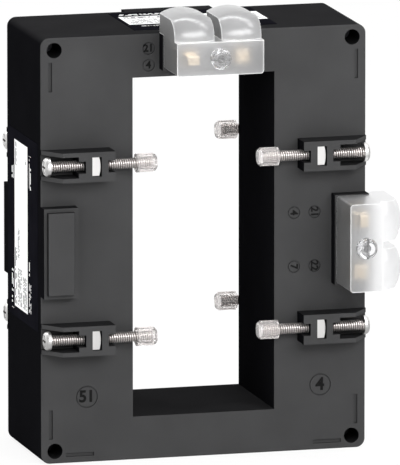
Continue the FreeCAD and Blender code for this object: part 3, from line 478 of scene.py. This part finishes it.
def from_clamp_axis(tree):
    """The distance from the axis of the nearest clamp."""
    where = axes(tree, "Object")
    squares = []
    for axis, place in (("Y", CLAMP_Y), ("Z", CLAMP_Z)):
        out = add_math(tree, "SUBTRACT", add_math(tree, "ABSOLUTE", where[axis]), place)
        squares.append(add_math(tree, "MULTIPLY", out, out))
    return add_math(tree, "SQRT", add_math(tree, "ADD", *squares))


def with_painted_groove_shade(material):
    """The metal with painted shade in its grooves."""
    tree = material.node_tree
    # Painted shade: darker towards the screw's axis, in the grooves.
    height = ranged(tree, from_clamp_axis(tree), 0, 1, GROOVE_TO_CREST)
    tree.links.new(colours_mixed(tree, height, GROOVE_PAINTED_SHADE, CREST_LIGHT), base_colour(material))
    return material


thread_metal = with_painted_groove_shade(metal(
    "nickel_thread",
    CREST_LIGHT,
    rough=(0.3, 0.35),
    purity=THREAD_PURITY,
    grain=THREAD_GRAIN,
    grain_depth=THREAD_GRAIN_DEPTH,
))
# Painted shade: the cross recess is a dark, rougher metal, for the shade that falls in it.
recess_painted_shade_metal = metal("nickel_recess_painted_shade", (0.16, 0.15, 0.15), rough=(0.35, 0.42))
print("screw metals:", nickel.name, thread_metal.name, recess_painted_shade_metal.name)

# %% [markdown]
# ## Clear caps and sealing screws
# The clamps' caps and the covers' screws are clear plastic. A see-through shader would show all behind them
# straight, as a thin film does, and plain glass would turn black where the black housing is behind it. So
# the shader bends most of the light, as glass does, and scatters the rest, as plastic does.

# %% Clear plastic
CLEAR_WAVES = 150
CLEAR_DEPTH, CLEAR_STRENGTH = 0.02 * MM, 0.2


def clear_plastic(name, colour, through, rough, bend):
    """Clear plastic that lets most light through and scatters the rest."""
    material = bpy.data.materials.new(name)
    tree = node_tree(material)
    waves = object_noise(tree, CLEAR_WAVES)
    principled(
        tree,
        Base_Color=colour,
        Transmission_Weight=through,
        IOR=bend,
        Roughness=ranged(tree, waves, *rough),
        Normal=bump(tree, waves, CLEAR_DEPTH, CLEAR_STRENGTH),
    )
    return material


screw_plastic = clear_plastic(
    "sealing_screw_clear", (0.90, 0.90, 0.91), through=0.88, rough=(0.03, 0.06), bend=1.6
)
finish(screw_plastic, *named("cover_screw"))
cap_plastic = clear_plastic("cap_clear", (0.97, 0.94, 0.93), through=0.8, rough=(0.02, 0.05), bend=1.33)
finish(cap_plastic, *named("clamp_cap"))

# %% [markdown]
# ## Hazy terminal covers
# The covers are clear too, but hazy. They are grey where the black housing is behind them and almost white
# where the background is. Their left sides are a dark grey that lets little through, which is painted
# shade, and their edges a near-white grey that lets little through, which is painted highlight. If every
# wall were hazy, four walls behind one another would add up to milk. So only the first skin that light
# meets blurs and scatters it, and the rest let it pass. Edges are found by comparing a rounded normal with
# the true one, which saves modelling them. A glossy coat mirrors the key light and the overhead strip.

# %% Edges and the first skin
EDGE_RADIUS = 0.55 * MM
EDGE_SAMPLES = 6
EDGE_TO_FLAT = (0.92, 0.995)


def edge_share(tree):
    """0 on open faces, and up to 1 at edges, where a rounded normal leaves the true one."""
    rounded = add_node(tree, "ShaderNodeBevel", {"samples": EDGE_SAMPLES}, Radius=EDGE_RADIUS).outputs[0]
    true = tree.nodes.new("ShaderNodeNewGeometry").outputs["Normal"]
    along = add_node(tree, "ShaderNodeVectorMath", {"operation": "DOT_PRODUCT"})
    plug(tree, rounded, along.inputs[0])
    plug(tree, true, along.inputs[1])
    return ranged(tree, along.outputs["Value"], 1, 0, EDGE_TO_FLAT)


def one_skin(tree, skin):
    """A shader for the skin where light first meets the piece, which lets it pass everywhere after."""
    clear = add_node(tree, "ShaderNodeBsdfTransparent", Color=WHITE)
    back = tree.nodes.new("ShaderNodeNewGeometry").outputs["Backfacing"]
    passed = tree.nodes.new("ShaderNodeLightPath").outputs["Transmission Depth"]
    further = add_math(tree, "MAXIMUM", back, add_math(tree, "GREATER_THAN", passed, NOT_ONCE))
    return mixed_by(tree, further, skin, clear)


print("edges show within, in mm:", round(EDGE_RADIUS / MM, 2))

# %% The covers' material
COVER_GREY = (0.7, 0.7, 0.71)
LEFT_SIDE_PAINTED_SHADE = (0.13, 0.13, 0.13)
RIM_PAINTED_HIGHLIGHT = (0.92, 0.92, 0.92)
FACE_HAZE, LEFT_SIDE_SHADE_HAZE, EDGE_HIGHLIGHT_HAZE = 0.17, 0.7, 0.83
LEFT_TO_FRONT = (-0.9, -0.4)
COVER_ROUGHNESS = (0.7, 0.8)
COVER_BEND = 1.36
COVER_DEPTH = 0.05 * MM
COAT_ROUGHNESS, COAT_BEND = 0.28, 1.9


def hazy_plastic(name):
    """Hazy clear plastic with painted shade on its left sides, painted highlights on its edges and a glossy
    coat.
    """
    material = bpy.data.materials.new(name)
    tree = node_tree(material)
    edge = edge_share(tree)
    from_left = ranged(tree, axes(tree, "Normal")["X"], 0, 1, LEFT_TO_FRONT)
    facing = add_math(tree, "MAXIMUM", from_left, edge)
    # Painted shade: the left sides are a dark grey that lets little through. Painted highlight: the edges
    # are a near-white grey that lets little through.
    scattered = ranged(tree, facing, LEFT_SIDE_SHADE_HAZE, FACE_HAZE, (0, 1))
    haze = add_math(tree, "ADD", scattered, add_math(tree, "MULTIPLY", edge, EDGE_HIGHLIGHT_HAZE))
    grey_with_painted_shade = colours_mixed(tree, facing, LEFT_SIDE_PAINTED_SHADE, COVER_GREY)
    waves = object_noise(tree, CLEAR_WAVES)
    skin = add_node(
        tree,
        "ShaderNodeBsdfPrincipled",
        Base_Color=colours_mixed(tree, edge, grey_with_painted_shade, RIM_PAINTED_HIGHLIGHT),
        Transmission_Weight=add_math(tree, "SUBTRACT", 1.0, haze),
        IOR=COVER_BEND,
        Roughness=ranged(tree, waves, *COVER_ROUGHNESS),
        Normal=bump(tree, waves, COVER_DEPTH, CLEAR_STRENGTH),
        Coat_Weight=facing,
        Coat_Roughness=COAT_ROUGHNESS,
        Coat_IOR=COAT_BEND,
    )
    surface(tree, one_skin(tree, skin))
    return material


finish(hazy_plastic("cover_polycarbonate"), *named("terminal_cover"))

# %% [markdown]
# ## Printed labels
# Each label is a black film with a white field and rows of small print, here plain bars. They could be
# thin solids laid on the film, but they are worked out in the material from the piece's own coordinates,
# which adds no mesh: a field is where a coordinate lies between two values, and a row of print is a field
# broken up by noise.

# %% Fields and rows of bars
BAR_CHANCE = 0.62


def between(tree, value, low, high):
    """1 where a value lies between two others, else 0."""
    above = add_math(tree, "GREATER_THAN", value, low)
    below = add_math(tree, "LESS_THAN", value, high)
    return add_math(tree, "MULTIPLY", above, below)


def print_rows(tree, along, across, pitch, share, word, seed):
    """Rows of plain bars: 1 on a bar. Rows lie across, and bars run along."""
    row = add_math(tree, "DIVIDE", across, pitch)
    on_row = add_math(tree, "LESS_THAN", add_math(tree, "FRACT", row), share)
    cell_along = add_math(tree, "FLOOR", add_math(tree, "DIVIDE", along, word))
    cell_row = add_math(tree, "FLOOR", row)
    cell = add_node(tree, "ShaderNodeCombineXYZ", X=cell_along, Y=cell_row, Z=float(seed))
    draw = add_node(tree, "ShaderNodeTexWhiteNoise", {"noise_dimensions": "3D"}, Vector=cell.outputs[0])
    drawn = add_math(tree, "LESS_THAN", draw.outputs["Value"], BAR_CHANCE)
    return add_math(tree, "MULTIPLY", on_row, drawn)


def spans(a_low, a_high, b_low, b_high):
    """A field along and across the label, from millimetres."""
    return (a_low * MM, a_high * MM), (b_low * MM, b_high * MM)


def rows(pitch, share, word):
    """A size of print: the pitch of its rows, the bars' share of it, and a bar's least length."""
    return pitch * MM, share, word * MM


FINE = rows(1.25, 0.5, 0.55)
BOLD = rows(2.3, 0.66, 0.85)
print("row pitch in mm, fine and bold:", round(FINE[0] / MM, 2), round(BOLD[0] / MM, 2))

# %% Label film
FILM_WHITE = (0.93, 0.93, 0.93)
FILM_BLACKS = (0.006, 0.006, 0.008), (0.009, 0.009, 0.012)
FILM_ROUGHNESS = 0.4
FILM_WAVES = 90
FILM_DEPTH, FILM_STRENGTH = 0.02 * MM, 0.3


def label_film(name, along_axis, across_axis, white_field, prints):
    """Black film with a white field, and rows of bars in black or white ink."""
    material = bpy.data.materials.new(name)
    tree = node_tree(material)
    where = axes(tree, "Object")
    along, across = where[along_axis], where[across_axis]

    def inside(field):
        """1 inside a field, else 0."""
        within = [between(tree, value, *span) for value, span in zip((along, across), field)]
        return add_math(tree, "MULTIPLY", *within)

    white = inside(white_field)
    for n, (field, print_size, ink) in enumerate(prints):
        bars = add_math(tree, "MULTIPLY", inside(field), print_rows(tree, along, across, *print_size, n))
        if ink == "white":
            white = add_math(tree, "MAXIMUM", white, bars)
        else:
            white = add_math(tree, "MULTIPLY", white, add_math(tree, "SUBTRACT", 1.0, bars))
    sheen = object_noise(tree, FILM_WAVES)
    film_black = colours_mixed(tree, ranged(tree, sheen, 0, 1), *FILM_BLACKS)
    principled(
        tree,
        Base_Color=colours_mixed(tree, white, film_black, FILM_WHITE),
        Roughness=FILM_ROUGHNESS,
        Specular_IOR_Level=0.0,
        Normal=bump(tree, sheen, FILM_DEPTH, FILM_STRENGTH),
    )
    return material


top_film = label_film(
    "top_label_film",
    along_axis="X",
    across_axis="Y",
    white_field=spans(-23.0, 30.3, -5.0, 12.0),
    prints=[
        (spans(-21.5, 3.0, 7.6, 10.8), BOLD, "black"),
        (spans(-21.5, -4.0, -3.6, 6.4), FINE, "black"),
        (spans(-1.0, 8.0, -2.0, 4.0), FINE, "black"),
        (spans(22.0, 28.5, -3.6, 10.0), FINE, "black"),
        (spans(-22.0, -4.0, 14.6, 17.2), BOLD, "white"),
        (spans(-20.0, 12.0, -9.6, -7.4), FINE, "white"),
    ],
)
finish(top_film, "rating_label_top")
side_film = label_film(
    "side_label_film",
    along_axis="Z",
    across_axis="Y",
    white_field=spans(-27.0, 36.2, -6.2, 13.2),
    prints=[
        (spans(26.6, 35.4, 10.2, 12.3), FINE, "black"),
        (spans(26.6, 31.0, -4.4, -2.6), FINE, "black"),
        (spans(-26.0, -4.8, 10.0, 12.4), BOLD, "black"),
        (spans(-8.0, 3.0, 6.0, 8.8), FINE, "black"),
        (spans(-26.0, -12.0, 2.2, 8.8), FINE, "black"),
        (spans(-26.0, -14.0, -4.8, 0.6), FINE, "black"),
        (spans(21.0, 26.0, 14.6, 17.2), BOLD, "white"),
        (spans(-28.3, -13.6, 14.6, 17.2), BOLD, "white"),
        (spans(20.7, 33.4, -11.0, -8.6), BOLD, "white"),
        (spans(-26.0, -15.0, -11.4, -8.2), FINE, "white"),
        (spans(-12.0, -5.0, -10.0, -8.2), BOLD, "white"),
    ],
)
finish(side_film, "rating_label_side")

# %% [markdown]
# ## A real thread
# In CAD a screw's shaft is plain, because a thread would slow every check. In a picture the thread is
# what makes it a screw. A bump could hint at it, but its outline would stay straight, so it is cut as a
# helix: one side view of all the ridges is spun once round while it moves along by one pitch, so each ridge
# ends where the next begins. Merging the doubles closes it, and two cuts square off its ends.

# %% Spin the thread
PITCH = 0.85 * MM
THREAD_OUTER, THREAD_ROOT = 2.0 * MM, 1.5 * MM
CREST_START, CREST_END = 0.34, 0.66
TURN_STEPS = 24
TIP_CHAMFER = 0.6 * MM
SEAM_MERGE = 0.002 * MM
CUT_MERGE, CUT_NEAR = 0.0001 * MM, 0.001 * MM


def spun(bm, profile, merged, travel=0.0):
    """Spins a side view, as places along X and radii, once round X while it travels along it."""
    line = [bm.verts.new((x, radius, 0)) for x, radius in profile]
    edges = [bm.edges.new(pair) for pair in zip(line, line[1:])]
    bmesh.ops.spin(
        bm,
        geom=line + edges,
        cent=(0, 0, 0),
        axis=(1, 0, 0),
        dvec=(travel / TURN_STEPS, 0, 0),
        angle=math.tau,
        steps=TURN_STEPS,
        use_merge=merged,
    )


def squared_end(bm, x, outwards):
    """Cuts off what lies beyond a place along X, and closes the cut."""
    bmesh.ops.bisect_plane(
        bm,
        geom=bm.verts[:] + bm.edges[:] + bm.faces[:],
        dist=CUT_MERGE,
        plane_co=(x, 0, 0),
        plane_no=(outwards, 0, 0),
        clear_outer=True,
    )
    rim = [e for e in bm.edges if e.is_boundary and all(abs(v.co.x - x) < CUT_NEAR for v in e.verts)]
    bmesh.ops.holes_fill(bm, edges=rim)


def threaded_shaft(bm, start, end):
    """A helical thread along X from start to end, with flat ends and a chamfered tip."""
    ridges = math.ceil((end - start) / PITCH) + 2
    first = start - PITCH
    profile = []
    for n in range(ridges):
        x = first + n * PITCH
        profile.append((x, THREAD_ROOT))
        profile.append((x + PITCH * CREST_START, THREAD_OUTER))
        profile.append((x + PITCH * CREST_END, THREAD_OUTER))
    profile.append((first + ridges * PITCH, THREAD_ROOT))
    spun(bm, profile, merged=False, travel=PITCH)
    bmesh.ops.remove_doubles(bm, verts=bm.verts, dist=SEAM_MERGE)
    squared_end(bm, start, -1)
    squared_end(bm, end, 1)
    for v in bm.verts:
        into_tip = v.co.x - (end - TIP_CHAMFER)
        radius = math.hypot(v.co.y, v.co.z)
        most = THREAD_OUTER - into_tip
        if into_tip > 0 and radius > most:
            v.co.y *= most / radius
            v.co.z *= most / radius


print("thread pitch in mm:", round(PITCH / MM, 2))

# %% [markdown]
# ## A head with a cross recess
# The head is a turned disc with a rounded edge, so its side view is spun too. Its cross recess could be
# pushed in face by face, but a cutter of two crossed tapered bars takes it out in one go, and leaves faces
# that can be found again by their place and given the darker, duller metal, which paints the shade in it.

# %% Turn the head and cut its recess
HEAD_RADIUS, HEAD_HEIGHT = 3.6 * MM, 2.3 * MM
HEAD_ROUNDING, ROUNDING_STEPS = 1.5 * MM, 8
HEAD_CHAMFER = 0.15 * MM
POLE_MERGE = 0.0005 * MM
CROSS_REACH, CROSS_BREADTH, CROSS_DEPTH = 2.4 * MM, 0.9 * MM, 1.4 * MM
TAPER_IN_REACH, TAPER_IN_BREADTH = 0.62, 0.8
QUARTER_TURN = math.pi / 2


def head_profile():
    """The head's side view, from the middle of its outer end round to the middle of its inner end."""
    profile = [(0, 0)]
    for n in range(ROUNDING_STEPS, -1, -1):
        angle = n * QUARTER_TURN / ROUNDING_STEPS
        x = HEAD_ROUNDING * (1 - math.sin(angle))
        profile.append((x, HEAD_RADIUS - HEAD_ROUNDING * (1 - math.cos(angle))))
    profile.append((HEAD_HEIGHT - HEAD_CHAMFER, HEAD_RADIUS))
    profile.append((HEAD_HEIGHT, HEAD_RADIUS - HEAD_CHAMFER))
    profile.append((HEAD_HEIGHT, 0))
    return profile


def cross_cutter():
    """Two crossed bars that narrow inwards."""
    bm = bmesh.new()
    for turn in (0, QUARTER_TURN):
        bar = bmesh.ops.create_cube(bm, size=1.0)["verts"]
        bmesh.ops.scale(bm, verts=bar, vec=(CROSS_DEPTH * 2, CROSS_REACH * 2, CROSS_BREADTH))
        for v in bar:
            if v.co.x > 0:
                v.co.y *= TAPER_IN_REACH
                v.co.z *= TAPER_IN_BREADTH
        bmesh.ops.rotate(bm, verts=bar, cent=(0, 0, 0), matrix=Matrix.Rotation(turn, 3, "X"))
    return mesh_object("cross_cutter", bm)


def screw_head():
    """The mesh of a cheese head from 0 to its height along X, with a cross recess in its end."""
    bm = bmesh.new()
    spun(bm, head_profile(), merged=True)
    bmesh.ops.remove_doubles(bm, verts=bm.verts, dist=POLE_MERGE)
    bmesh.ops.recalc_face_normals(bm, faces=bm.faces)
    head = mesh_object("head", bm)
    cutter = cross_cutter()
    cut = head.modifiers.new("cross", "BOOLEAN")
    cut.operation = "DIFFERENCE"
    cut.solver = "EXACT"
    cut.use_self = True
    cut.object = cutter
    graph = bpy.context.evaluated_depsgraph_get()
    mesh = bpy.data.meshes.new_from_object(head.evaluated_get(graph))
    for helper in (head, cutter):
        bpy.data.objects.remove(helper)
    return mesh


head_mesh = screw_head()
print("faces in the head:", len(head_mesh.polygons))

# %% Join the shaft and the head
SCREW_LENGTH = 41.2 * MM
SHAFT_INTO_HEAD = 0.2 * MM
RECESS_START = 0.01 * MM
SPARE_DEPTH, SPARE_REACH = 0.1 * MM, 0.05 * MM
SCREW_METALS = (nickel, thread_metal, recess_painted_shade_metal)


def in_recess(place):
    """Whether a place lies in the cross recess."""
    deep = RECESS_START < place.x < CROSS_DEPTH + SPARE_DEPTH
    return deep and math.hypot(place.y, place.z) < CROSS_REACH + SPARE_REACH


bm = bmesh.new()
threaded_shaft(bm, HEAD_HEIGHT - SHAFT_INTO_HEAD, SCREW_LENGTH)
for face in bm.faces:
    face.material_index = SCREW_METALS.index(thread_metal)
bm.from_mesh(head_mesh)
bmesh.ops.recalc_face_normals(bm, faces=bm.faces)
# The recess faces get the metal with painted shade.
for face in bm.faces:
    if in_recess(face.calc_center_median()):
        face.material_index = SCREW_METALS.index(recess_painted_shade_metal)
screw_mesh = bpy.data.meshes.new("threaded_screw")
bm.to_mesh(screw_mesh)
bm.free()
print("faces in one threaded screw:", len(screw_mesh.polygons))

# %% [markdown]
# ## Eight screws in their clamps
# Each screw turns and moves by itself, so each is a piece of its own, which rides its own body and stands
# in for the plain CAD screw. Copies could share one mesh and be moved as objects. Here each copy's mesh is
# moved instead, because a finished piece's object stays at the origin, as the CAD pieces' do.

# %% Put one screw in each clamp
FACES = ("front", "rear")
LEVELS = ("upper", "lower")
SIDES = ("left", "right")
SMOOTH_BELOW = math.radians(35)

clamps = [(face, level, side) for face in FACES for level in LEVELS for side in SIDES]
for face, level, side in clamps:
    name = f"{face}_{level}_{side}"
    low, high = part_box(f"clamp_screw_{name}")
    middle = (low + high) / 2
    mesh = screw_mesh.copy()
    mesh.name = f"threaded_screw_{name}"
    head_x, turn = (high.x, math.pi) if side == "right" else (low.x, 0)
    place = Matrix.Translation((head_x, middle.y, middle.z))
    mesh.transform(place @ Matrix.Rotation(turn, 4, "Z"))
    mesh.shade_smooth()
    mesh.set_sharp_from_angle(angle=SMOOTH_BELOW)
    for material in SCREW_METALS:
        mesh.materials.append(material)
    screw = linked(mesh.name, mesh)
    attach(screw, f"screw_{name}")
    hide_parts(f"clamp_screw_{name}")
print("screws placed:", len(clamps))

# %% [markdown]
# ## A tongue on each first terminal
# Behind each cover one small block shows sharply, while the rest of the terminals is only a glow. A sharper
# cover would show it too, but would show all the rest as sharply. A rough clear wall blurs what is far
# behind it and keeps sharp what is close, so the block reaches almost to the cover's front wall. It is a
# cube scaled to size, with its edges rounded.

# %% Add the tongues
TONGUE_WIDE, TONGUE_NARROW = 4.6 * MM, 3.4 * MM
TONGUE_END = -48.0 * MM
TONGUE_INTO_CLAMP = 0.3 * MM
TONGUE_ROUNDING, TONGUE_ROUNDING_STEPS = 0.3 * MM, 3


def tongue(terminal, breadth, height):
    """A block from a terminal's front end to just behind the cover's wall."""
    low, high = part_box(terminal)
    root = low.y + TONGUE_INTO_CLAMP
    bm = bmesh.new()
    cube = bmesh.ops.create_cube(bm, size=1.0)["verts"]
    bmesh.ops.scale(bm, verts=cube, vec=(breadth, root - TONGUE_END, height))
    middle = ((low.x + high.x) / 2, (root + TONGUE_END) / 2, (low.z + high.z) / 2)
    bmesh.ops.translate(bm, verts=cube, vec=middle)
    bmesh.ops.bevel(
        bm,
        geom=bm.edges[:],
        offset=TONGUE_ROUNDING,
        segments=TONGUE_ROUNDING_STEPS,
        profile=0.5,
        affect="EDGES",
        material=-1,
    )
    bmesh.ops.recalc_face_normals(bm, faces=bm.faces)
    block = mesh_object(f"tongue_{terminal}", bm)
    block.data.materials.append(brass)
    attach(block, "housing")
    print(f"{block.name}: {(root - TONGUE_END) / MM:.1f} mm long")


tongue("terminal_clamp_top_first", TONGUE_WIDE, TONGUE_NARROW)
tongue("terminal_clamp_side_first", TONGUE_NARROW, TONGUE_WIDE)

# %% [markdown]
# ## Characters in the round marks
# Each round mark carries raised characters, here plain numbers. Their outlines could be drawn by hand, but
# a text curve has them ready. It is given a little depth and made slightly bolder, turned into a mesh, and
# only then put in place, so that its object stays at the origin.

# %% Raise characters on the front face
CHARACTER_RISE = 0.3 * MM
BOLDER = 0.04
NUMBER_SHARE = 0.7
CURVE_STEPS = 4
# Painted shade: the characters are near black, darker than the front face's painted light, as characters
# sunk in the face would look.
mark_plastic_painted_shade = moulded_plastic("mark_plastic_painted_shade", (0.010, 0.010, 0.010), (0.014, 0.014, 0.014), gloss=0.0)


def raised_text(name, words, height, place, turn):
    """Raised characters on the front face, centred on a place, turned about the view."""
    curve = bpy.data.curves.new(name, "FONT")
    curve.body = words
    curve.size = height / NUMBER_SHARE
    curve.align_x = "CENTER"
    curve.align_y = "CENTER"
    curve.extrude = CHARACTER_RISE / 2
    curve.offset = height * BOLDER
    curve.resolution_u = CURVE_STEPS
    maker = linked(name, curve)
    graph = bpy.context.evaluated_depsgraph_get()
    mesh = bpy.data.meshes.new_from_object(maker.evaluated_get(graph))
    bpy.data.objects.remove(maker)
    upright = Matrix.Rotation(QUARTER_TURN, 4, "X")
    mesh.transform(Matrix.Translation(place) @ Matrix.Rotation(turn, 4, "Y") @ upright)
    mesh.materials.append(mark_plastic_painted_shade)
    made = linked(name, mesh)
    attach(made, "housing")


print("rise of the characters in mm:", round(CHARACTER_RISE / MM, 2))

# %% Plain numbers in the marks
PRIMARY_X, PRIMARY_Z = 45.0, -55.5
TOP_X, TOP_OUTER_Z, TOP_INNER_Z = 21.2, 74.8, 68.5
SIDE_OUTER_X, SIDE_INNER_X, SIDE_Z = 42.7, 34.8, 10.2
SMALL = 2.7

marks = [
    ("primary_left", "51", 4.3, -PRIMARY_X, PRIMARY_Z, 0),
    ("primary_right", "4", 4.6, PRIMARY_X, PRIMARY_Z, 0),
    ("top_left_outer", "21", SMALL, -TOP_X, TOP_OUTER_Z, 0),
    ("top_left_inner", "4", SMALL, -TOP_X, TOP_INNER_Z, 0),
    ("top_right_outer", "22", SMALL, TOP_X, TOP_OUTER_Z, 0),
    ("top_right_inner", "7", SMALL, TOP_X, TOP_INNER_Z, 0),
    ("side_upper_outer", "21", SMALL, SIDE_OUTER_X, SIDE_Z, QUARTER_TURN),
    ("side_upper_inner", "4", SMALL, SIDE_INNER_X, SIDE_Z, QUARTER_TURN),
    ("side_lower_outer", "22", SMALL, SIDE_OUTER_X, -SIDE_Z, QUARTER_TURN),
    ("side_lower_inner", "7", SMALL, SIDE_INNER_X, -SIDE_Z, QUARTER_TURN),
]
for name, words, height, x, z, turn in marks:
    raised_text(f"mark_{name}", words, height * MM, (x * MM, FRONT_FACE_Y, z * MM), turn)
print("marks:", len(marks))

# %% [markdown]
# ## Colours as they are written
# Blender can bend colours towards a film's look. The Standard view leaves them alone, so a tone set in a
# material comes out as it was set.

# %% Picture settings
bpy.context.scene.view_settings.view_transform = "Standard"
